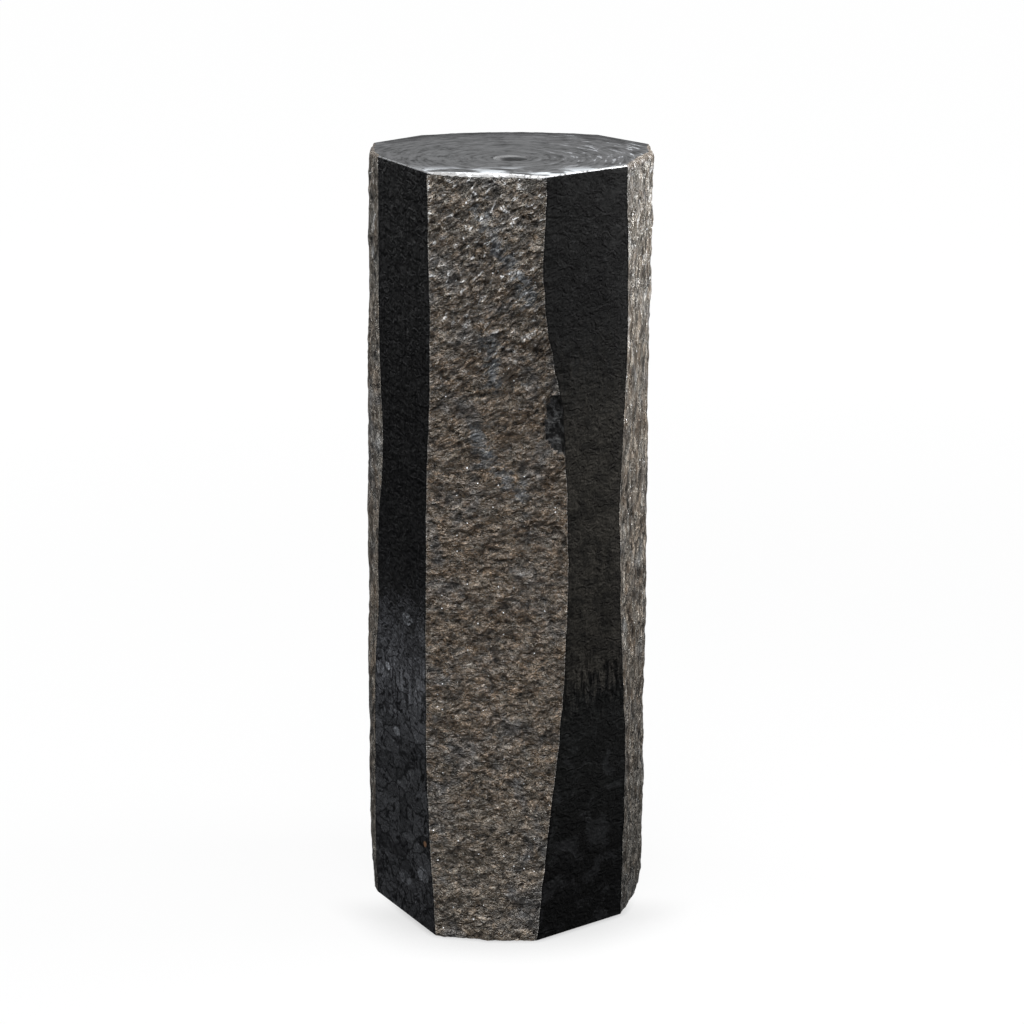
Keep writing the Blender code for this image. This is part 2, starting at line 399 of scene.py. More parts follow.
# The fine relief of the skin: tilted chips with sharp steps between them, curling ridges, and grain. Each is
# carved inwards, and the middle depth is given back so the skin stays where the lumps put it.
relief = {
    "Chip Size": 0.009,
    "Chip Depth": 0.0017,
    "Ridge Size": 0.0125,
    "Ridge Depth": 0.0009,
    "Ridge Width": 0.1,  # in the units of its noise
    "Grain Size": 0.005,
    "Grain Depth": 0.0009,
    "Middle": 0.0017,
    "Warp Size": 0.018,
    "Warp": 0.009,
    "Flatten": 1.35,  # chips are this much wider than they are tall
    "Side Flatten": 0.5,  # the same on the left and right sides
    "Lean": 0.5,  # how steeply they climb to the right near the top
    "Seed": 3.0,
    "Grain Seed": 5.0,
}

carving = {
    "leanAbove": (0.45, 0.78),
    "sidesBeyond": (0.11, 0.13),  # how far left or right of the middle the two sides begin
    "chipTilt": 0.3,  # the share of a chip's size over which it drops from one edge to the other
    "grainRange": (0.3, 0.7),
    "sharpOver": 40,  # degrees
}


def reliefTree(materials):
    tree = bpy.data.node_groups.new("skinRelief", "GeometryNodeTree")
    tree.interface.new_socket("Geometry", in_out="INPUT", socket_type="NodeSocketGeometry")
    for name, value in relief.items():
        tree.interface.new_socket(name, in_out="INPUT", socket_type="NodeSocketFloat").default_value = value
    tree.interface.new_socket("Geometry", in_out="OUTPUT", socket_type="NodeSocketGeometry")
    given = tree.nodes.new("NodeGroupInput").outputs
    position = tree.nodes.new("GeometryNodeInputPosition").outputs[0]

    def read(name, kind):
        node = addNode("GeometryNodeInputNamedAttribute", {"Name": name}, tree, data_type=kind)
        return node.outputs["Attribute"]

    def seededNoise(vector, seed, detail, size):
        scale = calc("DIVIDE", 1.0, given[size])
        return addNode("ShaderNodeTexNoise", {"Vector": vector, "W": seed, "Detail": detail, "Scale": scale},
                       noise_dimensions="4D").outputs

    # where each point is with the chips laid level and as tall as they are wide
    across, along, height = split(position)
    climb = times(remap(height, *carving["leanAbove"]), given["Lean"])
    onSide = remap(calc("ABSOLUTE", across), *carving["sidesBeyond"])
    upright = times(calc("SUBTRACT", height, times(across, climb)),
                    remap(onSide, 0.0, 1.0, given["Flatten"], given["Side Flatten"]))
    level = joined(across, along, upright)
    wander = seededNoise(level, given["Seed"], 2.0, "Warp Size")["Color"]
    shift = vectorCalc("SCALE", vectorCalc("SUBTRACT", wander, (0.5, 0.5, 0.5)), given["Warp"])
    laid = vectorCalc("ADD", level, shift)

    scale = calc("DIVIDE", 1.0, given["Chip Size"])
    chips = addNode("ShaderNodeTexVoronoi", {"Vector": laid, "W": given["Seed"], "Scale": scale},
                    voronoi_dimensions="4D")
    fromMiddle = vectorCalc("SUBTRACT", laid, chips.outputs["Position"])
    tilt = vectorCalc("SUBTRACT", chips.outputs["Color"], (0.5, 0.5, 0.5))
    tilted = vectorCalc("DOT_PRODUCT", fromMiddle, tilt)
    tilted = calc("DIVIDE", tilted, given["Chip Size"])
    steepest = carving["chipTilt"]
    chipped = times(remap(tilted, -steepest, steepest, 1.0, 0.0, "LINEAR"), given["Chip Depth"])
    ridges = seededNoise(laid, given["Seed"], 1.5, "Ridge Size")[0]
    fromCrest = calc("ABSOLUTE", calc("SUBTRACT", ridges, 0.5))
    ridged = times(remap(fromCrest, 0.0, given["Ridge Width"]), given["Ridge Depth"])
    grains = seededNoise(laid, calc("ADD", given["Seed"], given["Grain Seed"]), 1.0, "Grain Size")[0]
    grained = times(remap(grains, *carving["grainRange"], 1.0, 0.0), given["Grain Depth"])
    drop = calc("ADD", calc("ADD", chipped, ridged), grained)

    rise = times(calc("SUBTRACT", given["Middle"], drop), read("skin", "FLOAT"))
    offset = vectorCalc("SCALE", read("outward", "FLOAT_VECTOR"), rise)
    moved = addNode("GeometryNodeSetPosition", {"Geometry": given["Geometry"], "Offset": offset})
    geometry = moved.outputs[0]
    for name, value, kind in (("drop", drop, "FLOAT"), ("laid", laid, "FLOAT_VECTOR")):
        geometry = addNode("GeometryNodeStoreNamedAttribute",
                           {"Geometry": geometry, "Name": name, "Value": value},
                           data_type=kind, domain="POINT").outputs[0]
    geometry = addNode("GeometryNodeRealizeInstances", {0: geometry}).outputs[0]
    for name, material in materials.items():
        chosen = addNode("FunctionNodeCompare", {2: read("zone", "INT"), 3: zones[name]},
                         data_type="INT", operation="EQUAL").outputs[0]
        geometry = addNode("GeometryNodeSetMaterial",
                           {"Geometry": geometry, "Selection": chosen, "Material": material}).outputs[0]
    tree.links.new(geometry, tree.nodes.new("NodeGroupOutput").inputs[0])
    return tree


def carveSkin(stone, materials):
    modifier = stone.modifiers.new("skin relief", "NODES")
    tree = reliefTree(materials)
    modifier.node_group = tree
    for item in tree.interface.items_tree:
        if item.in_out == "INPUT" and item.name in relief:
            modifier[item.identifier] = relief[item.name]
    plain = bpy.data.meshes.new_from_object(stone.evaluated_get(bpy.context.evaluated_depsgraph_get()))
    stone.modifiers.remove(modifier)
    stone.data = plain
    if plain.materials[0] is None:
        plain.materials.pop(index=0)
    for name in ("outward", "zone"):
        plain.attributes.remove(plain.attributes[name])
    for vertex in plain.vertices:
        vertex.co = [min(max(vertex.co[k], stoneLow[k]), stoneHigh[k]) for k in range(3)]
    plain.shade_smooth()
    plain.set_sharp_from_angle(angle=math.radians(carving["sharpOver"]))
    print("stone:", len(plain.polygons), "faces carved,", len(plain.materials), "materials")


def newMaterial(name):
    material = bpy.data.materials.new(name)
    material.use_nodes = True
    tree = material.node_tree
    place = tree.nodes.new("ShaderNodeTexCoord").outputs["Object"]
    return material, tree.nodes["Principled BSDF"], place


def paint(shader, colour, roughness, normal, specular=0.5):
    plug(shader.inputs["Base Color"], colour)
    plug(shader.inputs["Roughness"], roughness)
    plug(shader.inputs["Normal"], normal)
    plug(shader.inputs["Specular IOR Level"], specular)


def stored(place, name, output="Fac"):
    # a value that the carving left on the mesh
    return addNode("ShaderNodeAttribute", {}, place.id_data, attribute_name=name).outputs[output]


def stretched(place, upright):
    # the place with its height drawn out or squeezed by this much
    across, along, height = split(place)
    return joined(across, along, times(height, upright))


def bent(place, by, size, amount):
    # the place pushed about by a noise of this size that is read at another place
    wander = addNode("ShaderNodeTexNoise", {"Vector": by, "Scale": 1 / size}).outputs["Color"]
    return vectorCalc("ADD", place, vectorCalc("SCALE", wander, amount))


def speckle(place, size, detail=3.0, roughness=0.55, distortion=0.0):
    return addNode("ShaderNodeTexNoise",
                   {"Vector": place, "Scale": 1 / size, "Detail": detail, "Roughness": roughness,
                    "Distortion": distortion}).outputs[0]


def cells(place, size, **settings):
    return addNode("ShaderNodeTexVoronoi", {"Vector": place, "Scale": 1 / size}, **settings).outputs


def cellEdges(place, size):
    return cells(place, size, feature="DISTANCE_TO_EDGE")["Distance"]


def blend(share, first, second, mode="MIX"):
    mix = addNode("ShaderNodeMix", {0: share, 6: first, 7: second}, data_type="RGBA", blend_type=mode)
    return mix.outputs[2]


def red(colour):
    return addNode("ShaderNodeSeparateColor", {0: colour}).outputs[0]


def toned(colour, tone):
    grey = addNode("ShaderNodeCombineColor", {0: tone, 1: tone, 2: tone}).outputs[0]
    return blend(1.0, colour, grey, "MULTIPLY")


def lines(noiseValue, width, level=0.5):
    # 1 along the winding line where a noise crosses this level, falling to 0 this far to either side
    return remap(calc("ABSOLUTE", calc("SUBTRACT", noiseValue, level)), 0.0, width, 1.0, 0.0)


def fromChain(place, points):
    # how far a place is, seen from the front, from the nearest of the lines that join these points
    level = vectorCalc("MULTIPLY", place, (1, 0, 1))
    nearest = 1.0
    for start, end in zip(points, points[1:]):
        start, end = Vector((start[0], 0, start[1])), Vector((end[0], 0, end[1]))
        past = vectorCalc("SUBTRACT", level, start)
        share = vectorCalc("DOT_PRODUCT", past, (end - start) / (end - start).length_squared)
        along = vectorCalc("SCALE", end - start, remap(share, 0.0, 1.0, easing="LINEAR"))
        nearest = calc("MINIMUM", nearest, vectorCalc("DISTANCE", past, along))
    return nearest


def bumps(*layers):
    # the normal after each (height, depth) layer is laid over the ones before it
    normal = None
    for height, depth in layers:
        values = {"Height": height, "Distance": depth, "Strength": 1.0}
        if normal:
            values["Normal"] = normal
        normal = addNode("ShaderNodeBump", values).outputs[0]
    return normal


# In every look below, a noise is (size, detail, roughness, distortion), and a ramp is (from, to) or
# (from, to, result, result), which without its results runs from 0 to 1.
skinLook = {
    "brown": (0.182, 0.137, 0.098, 1),
    "darkBrown": (0.066, 0.05, 0.036, 1),
    "sideBrown": (0.21, 0.187, 0.16, 1),  # the left and right sides are greyer
    "pale": (0.33, 0.3, 0.255, 1),  # the painted highlight that the strokes turn towards
    "blueGrey": (0.092, 0.095, 0.1, 1),
    "deposit": (0.15, 0.165, 0.18, 1),
    "rustTint": (1.06, 1.0, 0.94, 1),  # its brown wanders between these two tints
    "slateTint": (0.94, 1.0, 1.06, 1),
    "creviceShade": (0.005, 0.0045, 0.004, 1),
    "crest": (0.4, 0.375, 0.325, 1),
    "edge": (0.3, 0.29, 0.275, 1),
    "sparkle": (0.9, 0.92, 0.94, 1),
    # noises, and what each does to the colour
    "patches": (0.06, 3.0, 0.6, 0.6),
    "patched": (0.5, 0.66, 0.0, 0.5),
    "mottles": (0.012, 3.0, 0.6, 0.5),
    "mottled": (0.35, 0.65),
    "tints": (0.018, 4.0, 0.65, 0.4),
    "tinted": (0.36, 0.64),
    "colder": ((0.66, 0.86, 0.0, 0.3), (0.1, 0.25, 0.6, 0.0)),  # near the top and the foot
    "curls": (0.009, 1.5, 0.5, 1.6),
    "curlWidth": 0.05,
    "strokes": (0.0095, 1.6, 0.5, 0.35),
    "strokeFlatten": (0.95, 1.1),  # wider again than the chips by this, and upright on the sides
    "strokeTones": (0.34, 0.66, 0.4, 1.45),
    "strokesPaled": (0.5, 0.68),
    "strokesGlint": (0.6, 0.7),
    "contours": (0.022, 1.0, 0.5, 0.8),
    "contourCount": 64,  # fine lines that run beside each other, for each 1 that their noise changes
    "contoured": (0.3, 0.8),
    "contourTones": (-1.0, 1.0, 0.76, 1.24),
    "grain": (0.0017, 1.0, 0.5),
    "grainTones": (0.3, 0.7, 0.6, 1.4),
    "grainy": (0.35, 0.6),
    "flakeSize": 0.013,
    "flaked": (0.12, 0.3, 1.0, 0.5),  # up the stone
    "flakeTones": (0.0, 1.0, 0.76, 1.24),
    "flakeEdges": (0.0, 0.06, 0.5, 1.0),
    "flakeSlopes": (0.0, 0.16),
    "sparkleSize": 0.006,
    "sparkleAbove": 0.94,  # the share of its cells that don't sparkle
    "sparkleWithin": 0.15,
    # between these heights up the stone it takes more painted highlight and glints and a painted shade
    # darkens it, and it is calmer and paler below
    "paintedLightAbove": (0.58, 0.88),
    "paintedPaleShare": (0.1, 0.42),
    "paintedShadeTone": (1.0, 0.72),
    "paintedGlintShare": (0.08, 0.6),
    "calmBelow": (0.6, 0.85, 0.74, 1.0),
    "calmFoot": (0.08, 0.22, 0.72, 1.0),
    "calmSides": (0.0, 1.0, 1.0, 0.85),
    "sidesLit": (0.0, 1.0, 1.0, 0.5),  # strokes on the sides take less painted highlight
    "sidesFoot": (0.04, 0.34, 0.66, 1.0),
    "sidesRim": (0.002, 0.012, 0.6, 0.0),  # below the top, where they round over, a painted shade darkens them
    # how deep the carving is, and how near an arris
    "creviceShaded": (0.0018, 0.0031, 0.0, 0.85),
    "crestHighlit": (0.001, 0.0024, 0.8, 0.1),
    "edged": (0.4, 0.45, 0.6, 0.0),
    "edgeAbove": 0.35,
    # where water ran down the front and left its deposit: chains of points, across and up
    "runs": (((-0.034, 0.876), (-0.014, 0.835), (0.002, 0.812), (0.017, 0.799), (0.024, 0.769)),
             ((-0.023, 0.725), (-0.019, 0.699), (-0.017, 0.674)),
             ((-0.035, 0.615), (-0.026, 0.58), (0.017, 0.54))),
    "runWidth": 0.011,
    "runWaver": 0.014,
    "runsInFront": (-0.12, -0.1, 1.0, 0.0),
    "runPale": 0.4,
    "runShare": 0.6,
    "roughness": (0.0, 1.0, 0.45, 0.22),
    "specular": 0.45,
    "strokeDepth": 0.01,
    "curlDepth": 0.0012,
    "contourDepth": 0.0004,
    "flakeDepth": 0.0012,
    "grainDepth": 0.0005,
}


def skinMaterial():
    material, shader, place = newMaterial("natural skin")
    look, ramp = skinLook, rampsOf(skinLook)
    drop, skin, laid = stored(place, "drop"), stored(place, "skin"), stored(place, "laid", "Vector")
    across, depth, height = split(place)
    onSide = remap(calc("ABSOLUTE", across), *carving["sidesBeyond"])
    drawn = stretched(laid, remap(onSide, 0.0, 1.0, *look["strokeFlatten"]))
    patches = ramp(speckle(place, *look["patches"]), "patched")
    mottle = ramp(speckle(laid, *look["mottles"]), "mottled")
    strokes = speckle(drawn, *look["strokes"])
    crest = lines(speckle(laid, *look["curls"]), look["curlWidth"])
    grain = speckle(place, *look["grain"])
    grainy = ramp(grain, "grainy")
    contours = calc("SINE", times(speckle(drawn, *look["contours"]), look["contourCount"]))
    contours = times(contours, ramp(mottle, "contoured"))
    # the deposit of the runs
    run = 1.0
    for points in look["runs"]:
        run = calc("MINIMUM", run, fromChain(place, points))
    run = calc("ADD", run, swing(mottle, look["runWaver"]))
    deposit = times(remap(run, 0.0, look["runWidth"], 1.0, 0.0), ramp(depth, "runsInFront"))
    # the browns, with a painted highlight along the strokes that grows up the stone and along the runs, and
    # their tints
    lit = ramp(onSide, "sidesLit")
    paler = calc("ADD", ramp(height, "paintedLightAbove", "paintedPaleShare"), times(deposit, look["runPale"]))
    paler = times(ramp(strokes, "strokesPaled"), paler, lit)
    brown = blend(paler, blend(onSide, look["brown"], look["sideBrown"]), look["pale"])
    colour = blend(mottle, look["darkBrown"], brown)
    colour = blend(patches, colour, look["blueGrey"])
    colour = blend(times(deposit, look["runShare"]), colour, look["deposit"])
    cold = ramp(speckle(laid, *look["tints"]), "tinted")
    for heights in look["colder"]:
        cold = calc("ADD", cold, remap(height, *heights))
    colour = blend(1.0, colour, blend(cold, look["rustTint"], look["slateTint"]), "MULTIPLY")
    # flakes that overlap like scales near the foot, each of its own tone, with a dark line round it
    wavy = bent(laid, laid, look["flakeSize"] / 2, look["flakeSize"])
    edges = cellEdges(wavy, look["flakeSize"])
    flaked = ramp(height, "flaked")
    flakeTone = remap(red(cells(wavy, look["flakeSize"])["Color"]), *look["flakeTones"], "LINEAR")
    flakeTone = times(flakeTone, ramp(edges, "flakeEdges"))
    # the tone of grain, strokes and contours, and on the sides a painted shade that darkens towards the foot
    tone = times(ramp(grain, "grainTones"), ramp(strokes, "strokeTones"),
                 remap(contours, *look["contourTones"], "LINEAR"),
                 between(onSide, 1.0, ramp(height, "sidesFoot")))
    calm = times(ramp(height, "calmBelow"), ramp(height, "calmFoot"), ramp(onSide, "calmSides"))
    # a painted shade darkens the upper part
    tone = times(between(calm, 1.0, tone), ramp(height, "paintedLightAbove", "paintedShadeTone"),
                 between(flaked, 1.0, flakeTone))
    colour = toned(colour, tone)
    # painted shade: the deeper the carving, the nearer it comes to black
    colour = blend(ramp(drop, "creviceShaded"), colour, look["creviceShade"])
    # painted highlight along the crests of the curls, where the carving is shallow
    crestHighlit = times(crest, grainy, ramp(drop, "crestHighlit"))
    colour = blend(crestHighlit, colour, look["crest"])
    # painted highlights: the upper part glints along its strokes, and a few specks sparkle
    glinting = times(ramp(strokes, "strokesGlint"), grainy, ramp(height, "paintedLightAbove", "paintedGlintShare"), lit)
    colour = blend(glinting, colour, look["sparkle"])
    glintCells = cells(place, look["sparkleSize"])
    lucky = calc("GREATER_THAN", red(glintCells["Color"]), look["sparkleAbove"])
    near = calc("LESS_THAN", glintCells["Distance"], look["sparkleWithin"])
    colour = blend(times(lucky, near), colour, look["sparkle"])
    # painted shade on the sides where they round over to the top
    belowTop = calc("SUBTRACT", column["height"], height)
    colour = blend(times(onSide, ramp(belowTop, "sidesRim")), colour, look["darkBrown"])
    # a pale line where the skin meets an arris, partly wear and partly painted highlight
    onEdge = times(ramp(skin, "edged"), calc("GREATER_THAN", skin, look["edgeAbove"]))
    colour = blend(times(onEdge, grainy), colour, look["edge"])
    scaled = times(ramp(edges, "flakeSlopes"), flaked)
    normal = bumps((strokes, times(calm, look["strokeDepth"])), (crest, look["curlDepth"]),
                   (contours, look["contourDepth"]), (scaled, look["flakeDepth"]),
                   (grain, look["grainDepth"]))
    paint(shader, colour, ramp(mottle, "roughness"), normal, look["specular"])
    return material


# The flats darken towards the foot, with streaks where the black begins. The left ones have a painted bluish
# reflection over their lower part, with mottles that overlap like scales, dark slashes and gaps, and thin
# pale curves.
flatLook = {
    "black": (0.002, 0.002, 0.002, 1),
    "pitch": (0.0052, 0.0052, 0.0052, 1),
    "soot": (0.0082, 0.0084, 0.0082, 1),
    "charcoal": (0.0074, 0.0074, 0.0074, 1),
    "umber": (0.019, 0.0176, 0.0153, 1),
    "coal": (0.0064, 0.0064, 0.0065, 1),  # the left flats above their film
    "slate": (0.0098, 0.0098, 0.0099, 1),  # and near the top
    "paintedReflection": (0.053, 0.0545, 0.059, 1),
    "pebbleSheen": (0.1, 0.104, 0.112, 1),
    "creaseHighlight": (0.022, 0.0222, 0.0225, 1),
    "rust": (0.15, 0.085, 0.05, 1),
    "clouds": (0.03, 4.0, 0.65, 1.0),
    "cloudTones": (0.35, 0.65, 0.88, 1.12),
    "streaks": (0.0045, 3.0, 0.6, 0.8),
    "streakFlatten": 0.2,
    "streakTones": (0.32, 0.68, 0.4, 1.6),
    "streaksBetween": ((0.24, 0.29), (0.31, 0.37, 1.0, 0.0)),  # on the right, heights where they come and go
    "leftStreaks": 0.6,
    "grain": (0.0022, 2.0, 0.6),
    "grainTones": (0.3, 0.7, 0.6, 1.4),
    # heights, which drift with the streaks and clouds, at which one colour gives way to the next
    "streakDrift": 0.16,
    "cloudDrift": 0.08,
    "sootAbove": (0.04, 0.2),
    "charcoalAbove": (0.285, 0.325),
    "slateAbove": (0.6, 0.82),
    "umberFrom": (0.28, 0.33),
    "umberTo": (0.56, 0.76),
    "umbered": (0.35, 0.6, 0.4, 0.9),  # by the clouds
    "rightReflectionBelow": (0.22, 0.28, 1.0, 0.0),
    "rightReflected": (0.48, 0.68, 0.0, 0.14),
    "reflectionBelow": (0.285, 0.43, 1.0, 0.0),
    "reflectionDrift": 0.2,
    "reflectionFades": (0.17, 0.3, 0.42, 1.0),
    "wavySize": 1 / 60,
    "waviness": 0.012,
    "scaleSize": 0.03,
    "scaleFlatten": 1.7,  # scales are this much wider than they are tall
    "scaleTones": (0.0, 1.0, 0.6, 1.4),
    "somewhere": (0.03, 2.0, 0.5),  # where there are rims, slashes and curves
    "rims": (0.0, 0.1, 0.8, 0.0),
    "rimsWhere": (0.48, 0.56, 1.0, 0.0),
    "gapSize": 0.034,
    "gapLines": (0.0, 0.045, 0.9, 0.0),
    "gapsBelow": (0.06, 0.095, 1.0, 0.0),
    "slashes": (0.015, 1.0, 0.5, 0.8),
    "slashFlatten": 0.42,
    "slashWidth": 0.075,
    "slashesWhere": (0.45, 0.53),
    "curveWidth": 0.018,
    "curveLevel": 0.575,
    "curvesWhere": (0.42, 0.5, 1.0, 0.0),
    "darkTone": (0.0, 1.0, 1.0, 0.15),
    "paleTone": (0.0, 1.0, 1.0, 1.9),
    # pale pebble-shaped spots of painted reflection: the place of each, its size and its share of the colour
    # above
    "pebbleReflections": (((-0.1206, -0.0808, 0.374), 0.0145, 0.55), ((-0.1455, -0.0368, 0.3007), 0.0085, 1.0),
              ((-0.1346, -0.0585, 0.2257), 0.0105, 0.95), ((-0.126, -0.0788, 0.0455), 0.018, 0.45),
              ((-0.1029, -0.1208, 0.0651), 0.017, 0.62)),
    "spotWaver": 0.5,
    "spotEdge": (0.8, 0.95),
    "rustSpot": ((-0.1001, -0.1249, 0.1065), 0.0048),  # its place and size
    "rustWaver": 0.006,
    "rustEdge": (0.5, 1.0),
    "rustShare": 0.9,
    # painted light and shade of faint folds, as if lit from above, by how strongly: on the right, on the left
    # and in its painted reflection
    "folds": (0.012, 2.0, 0.6, 1.2),
    "foldFlatten": 1.5,
    "foldShift": (0.0005, 0.0005, 0.0011),
    "foldStrengths": (4.5, 10.0, 3.0),
    "foldFloor": 0.2,
    # creases: a painted highlight thread with a painted shadow thread beside it, here and there
    "creases": (0.03, 2.0, 0.5, 1.0),
    "creaseFlatten": 2.2,
    "creasesWhere": (0.47, 0.58),
    "creasesAbove": (0.4, 0.75, 0.2, 1.0),
    "threadWidth": 0.014,
    "threadShare": 0.45,
    "shadowWidth": 0.018,
    "shadowLevel": 0.532,
    "arrisDark": (0.365, 0.39, 0.0, 0.8),  # a painted dark reflection along the arris
    "roughness": (0.35, 0.65, 0.16, 0.3),
    "specular": 0.12,
    "streakDepth": 0.00035,
    "grainDepth": 0.00012,
}


def reflectionTones(place, height, look):
    # the painted reflection's tone and the slashes in it
    ramp = rampsOf(look)
    flattened = stretched(place, look["scaleFlatten"])
    wavy = bent(flattened, place, look["wavySize"], look["waviness"])
    slashes = speckle(stretched(wavy, look["slashFlatten"]), *look["slashes"])
    somewhere = speckle(wavy, *look["somewhere"])
    slashed = times(lines(slashes, look["slashWidth"]), ramp(somewhere, "slashesWhere"))
    rimmed = times(ramp(cellEdges(wavy, look["scaleSize"]), "rims"), ramp(somewhere, "rimsWhere"))
    gapped = times(ramp(cellEdges(wavy, look["gapSize"]), "gapLines"), ramp(height, "gapsBelow"))
    dark = calc("MAXIMUM", calc("MAXIMUM", slashed, rimmed), gapped)
    pale = times(lines(slashes, look["curveWidth"], look["curveLevel"]), ramp(somewhere, "curvesWhere"))
    own = red(cells(wavy, look["scaleSize"])["Color"])
    tone = times(remap(own, *look["scaleTones"], "LINEAR"), ramp(dark, "darkTone"), ramp(pale, "paleTone"))
    return tone, slashes


def flatMaterial():
    material, shader, place = newMaterial("polished flat")
    look, ramp = flatLook, rampsOf(flatLook)
    across, _, straight = split(place)
    clouds = speckle(place, *look["clouds"])
    streaks = speckle(stretched(place, look["streakFlatten"]), *look["streaks"])
    drift = calc("ADD", swing(streaks, look["streakDrift"]), swing(clouds, look["cloudDrift"]))
    height = calc("ADD", straight, drift)
    left = calc("LESS_THAN", across, 0.0)
    right = calc("SUBTRACT", 1.0, left)
    upper = blend(ramp(height, "slateAbove"), look["coal"], look["slate"])
    upper = blend(right, upper, look["charcoal"])
    lower = blend(ramp(height, "sootAbove"), look["pitch"], look["soot"])
    colour = blend(ramp(height, "charcoalAbove"), lower, upper)
    middle = calc("SUBTRACT", ramp(height, "umberFrom"), ramp(height, "umberTo"))
    umbered = times(middle, ramp(clouds, "umbered"), right)
    colour = blend(umbered, colour, look["umber"])
    # faint patches of the same painted reflection on the black of the right flats
    rightReflection = times(ramp(clouds, "rightReflected"), ramp(height, "rightReflectionBelow"), right)
    colour = blend(rightReflection, colour, look["paintedReflection"])
    # a painted reflection over the lower part of the left flats
    ragged = calc("ADD", height, swing(clouds, look["reflectionDrift"]))
    reflected = times(left, ramp(ragged, "reflectionBelow"))
    colour = blend(times(reflected, ramp(straight, "reflectionFades")), colour, look["paintedReflection"])
    reflectionTone, slashes = reflectionTones(place, height, look)
    for spotPlace, size, share in look["pebbleReflections"]:
        apart = stretched(vectorCalc("SUBTRACT", place, spotPlace), look["scaleFlatten"])
        apart = vectorCalc("LENGTH", apart)
        apart = calc("ADD", apart, swing(slashes, size * look["spotWaver"]))
        inner, outer = (size * edge for edge in look["spotEdge"])
        colour = blend(remap(apart, inner, outer, share, 0.0), colour, look["pebbleSheen"])
    # the streaks show on the left, and on the right only where the black begins
    come, go = look["streaksBetween"]
    begins = times(remap(straight, *come), remap(straight, *go))
    streaky = times(calc("SUBTRACT", left, reflected), look["leftStreaks"])
    streaky = calc("MAXIMUM", streaky, begins)
    grain = speckle(place, *look["grain"])
    tone = times(ramp(grain, "grainTones"), ramp(clouds, "cloudTones"))
    folds = calc("SUBTRACT", *(speckle(stretched(at, look["foldFlatten"]), *look["folds"])
                               for at in (place, vectorCalc("ADD", place, look["foldShift"]))))
    onRight, onLeft, inReflection = look["foldStrengths"]
    folded = times(folds, between(left, onRight, between(reflected, onLeft, inReflection)))
    tone = times(tone, calc("MAXIMUM", calc("ADD", folded, 1.0), look["foldFloor"]),
                 between(reflected, 1.0, reflectionTone),
                 between(streaky, 1.0, ramp(streaks, "streakTones")))
    colour = toned(colour, tone)
    creases = speckle(stretched(place, look["creaseFlatten"]), *look["creases"])
    showing = times(ramp(clouds, "creasesWhere"), ramp(height, "creasesAbove"), calc("SUBTRACT", 1.0, reflected))
    thread = times(lines(creases, look["threadWidth"]), showing, look["threadShare"])
    colour = blend(thread, colour, look["creaseHighlight"])
    shadow = times(lines(creases, look["shadowWidth"], look["shadowLevel"]), showing)
    colour = blend(shadow, colour, look["black"])
    rustPlace, rustSize = look["rustSpot"]
    inner, outer = (rustSize * edge for edge in look["rustEdge"])
    fromRust = vectorCalc("DISTANCE", place, rustPlace)
    fromRust = calc("ADD", fromRust, swing(slashes, look["rustWaver"]))
    colour = blend(remap(fromRust, inner, outer, look["rustShare"], 0.0), colour, look["rust"])
    # a painted dark reflection along the arris
    colour = blend(ramp(stored(place, "skin"), "arrisDark"), colour, look["black"])
    normal = bumps((times(streaks, streaky), look["streakDepth"]), (grain, look["grainDepth"]))
    paint(shader, colour, ramp(clouds, "roughness"), normal, look["specular"])
    return material


topLook = {
    "grey": (0.036, 0.036, 0.037, 1),
    "dark": (0.006, 0.006, 0.006, 1),
    "clouds": (0.03, 4.0, 0.6),
    "arcs": (0.006, 2.0, 0.6, 0.3),
    "arcStretch": 0.22,  # how slowly the arcs change on their way round the bore
    "arcDepth": 0.00012,
    "ripples": (0.016, 3.0, 0.6, 1.0),
    "rippleDepth": 0.0005,
    "waveShares": (0.6, 0.4),  # of the arcs and the ripples
    "wave": (0.36, 0.64),
    "sheen": (0.05, 0.85),  # between the troughs and the crests of the wave
    "glow": (0.3, 0.315, 0.33, 1),  # painted highlight streaks along its front edge
    "glowPlace": (0.35, 0.6, 1.0),  # how they are drawn out
    "glows": (0.012, 2.0, 0.6, 0.6),
    "glowing": (0.42, 0.58),
    "glowAhead": (-0.13, -0.07, 1.0, 0.0),
    "rays": (0.6, 0.68, 0.0, 0.45),  # painted highlight arcs towards the right
    "raysBeyond": (0.02, 0.1),
    "roughness": (0.35, 0.65, 0.08, 0.2),
}


def topMaterial():
    material, shader, place = newMaterial("polished top")
    look, ramp = topLook, rampsOf(topLook)
    across, depth, _ = split(place)
    middle = vectorCalc("SUBTRACT", place, (*bore["centre"], 0.0))
    away = vectorCalc("LENGTH", vectorCalc("MULTIPLY", middle, (1, 1, 0)))
    around = vectorCalc("MULTIPLY", middle, (look["arcStretch"], look["arcStretch"], 0))
    arcs = speckle(vectorCalc("ADD", around, joined(0.0, 0.0, away)), *look["arcs"])
    ripple = speckle(place, *look["ripples"])
    arcShare, rippleShare = look["waveShares"]
    wave = calc("ADD", times(arcs, arcShare), times(ripple, rippleShare))
    # dark and grey by the arcs round the bore and the ripples: partly polish marks, partly painted reflection
    colour = blend(ramp(wave, "wave"), look["dark"], look["grey"])
    edgeHighlight = speckle(vectorCalc("MULTIPLY", place, look["glowPlace"]), *look["glows"])
    edgeHighlight = times(ramp(edgeHighlight, "glowing"), ramp(depth, "glowAhead"))
    rays = times(ramp(arcs, "rays"), ramp(across, "raysBeyond"))
    colour = blend(calc("MAXIMUM", edgeHighlight, rays), colour, look["glow"])
    roughness = ramp(speckle(place, *look["clouds"]), "roughness")
    normal = bumps((arcs, look["arcDepth"]), (ripple, look["rippleDepth"]))
    paint(shader, colour, roughness, normal, ramp(wave, "wave", "sheen"))
    return material


